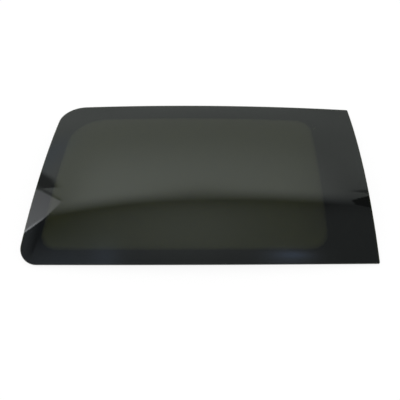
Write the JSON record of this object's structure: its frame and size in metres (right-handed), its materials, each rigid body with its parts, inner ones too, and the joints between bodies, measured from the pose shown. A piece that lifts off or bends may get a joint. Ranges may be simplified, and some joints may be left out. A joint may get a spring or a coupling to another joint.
{
  "type": "van side window",
  "caption": "Bent, tinted side window pane for a van, bonded in, with a wide black ceramic border on its inner face.",
  "frame": {"origin": "centre of the box's underside: the pane lies with its convex outer face up, and its lowest point, on the inner face where the pillar and roof edges meet, is at Z = 0", "axes": "+X along the van towards the square pillar edge, +Y from the sill edge up to the roof edge, +Z out through the convex outer face"},
  "size_m": [0.94, 0.547, 0.0524],
  "materials": {
    "tinted_glass": "bent toughened privacy glass, grey-green body tint, polished faces, ground edge",
    "black_ceramic": "black enamel fused to the inner face, glossy seen through the glass, satin from inside"
  },
  "bodies": {
    "root": {"glass_pane": "tinted_glass", "ceramic_border": "black_ceramic"}
  },
  "joints": []
}
